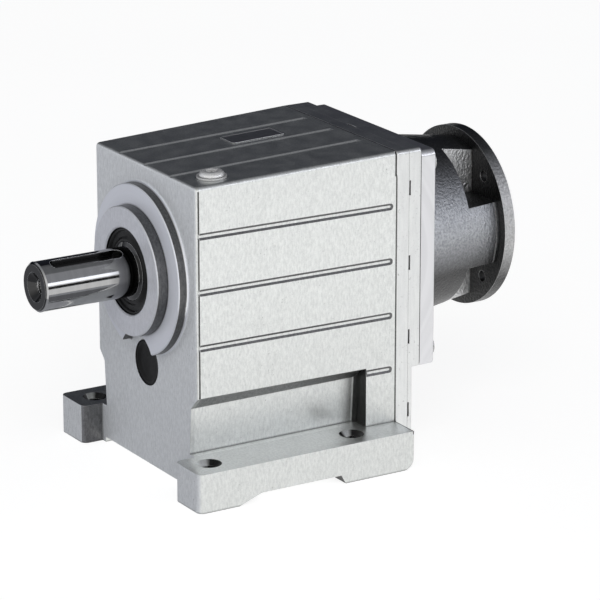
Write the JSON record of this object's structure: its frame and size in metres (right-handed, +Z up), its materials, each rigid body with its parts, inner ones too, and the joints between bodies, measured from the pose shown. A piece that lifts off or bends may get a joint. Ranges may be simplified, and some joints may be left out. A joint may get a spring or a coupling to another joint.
{
  "type": "helical gear reducer",
  "caption": "Foot-mounted in-line helical gear reducer with a grooved cast case, keyed output shaft, rear plates and a cast lantern adapter for a motor.",
  "frame": {"origin": "centre of the four foot bolts, on the plane that the feet stand on", "axes": "+Z up; +Y from the output shaft's end to the motor flange; +X to the right seen from the output end"},
  "size_m": [0.171, 0.2994, 0.1932],
  "materials": {
    "case_casting": "die-cast, fine matt grain",
    "plate_casting": "die-cast, milled edges",
    "adapter_casting": "sand-cast, rough, dull grey",
    "ground_steel": "ground and polished",
    "gear_steel": "hardened and ground",
    "bearing_steel": "polished",
    "zinc_screws": "zinc plated",
    "black_rubber": "matt black",
    "gasket_sheet": "matt dark grey",
    "rating_sheet": "bare satin sheet"
  },
  "bodies": {
    "housing": {"gear_case": "case_casting", "bearing_plate": "plate_casting", "input_cover": "plate_casting", "adapter_gasket": "gasket_sheet", "motor_adapter": "adapter_casting", "bore_cap": "black_rubber", "rating_plate": "rating_sheet", "filler_screw": "zinc_screws", "filler_washer": "zinc_screws", "adapter_screws": "zinc_screws", "plate_screws": "zinc_screws", "dowel_pins": "ground_steel", "output_seal": "black_rubber", "input_seal": "black_rubber", "output_bearing_outer": "bearing_steel", "mid_bearing_outer": "bearing_steel", "input_bearing_outer": "bearing_steel"},
    "output": {"output_shaft": "ground_steel", "output_gear": "gear_steel", "output_bearing_inner": "bearing_steel", "bearing_sleeve": "ground_steel", "gear_clip": "gear_steel"},
    "mid": {"mid_pinion_shaft": "gear_steel", "mid_gear": "gear_steel", "mid_bearing_inner": "bearing_steel"},
    "input": {"input_shaft": "gear_steel", "input_bearing_inner": "bearing_steel"}
  },
  "joints": [
    {"name": "output_spin", "type": "hinge", "parent": "housing", "child": "output", "pos_m": [0, 0, 0.125], "axis": [0, 1, 0], "continuous": true},
    {"name": "mid_spin", "type": "hinge", "parent": "housing", "child": "mid", "pos_m": [0, 0, 0.06625], "axis": [0, 1, 0], "continuous": true},
    {"name": "input_spin", "type": "hinge", "parent": "housing", "child": "input", "pos_m": [0, 0, 0.125], "axis": [0, 1, 0], "continuous": true}
  ],
  "couplings": [
    {"joint": "mid_spin", "follows": "output_spin", "ratio": -3.0909},
    {"joint": "input_spin", "follows": "output_spin", "ratio": 10.224}
  ]
}
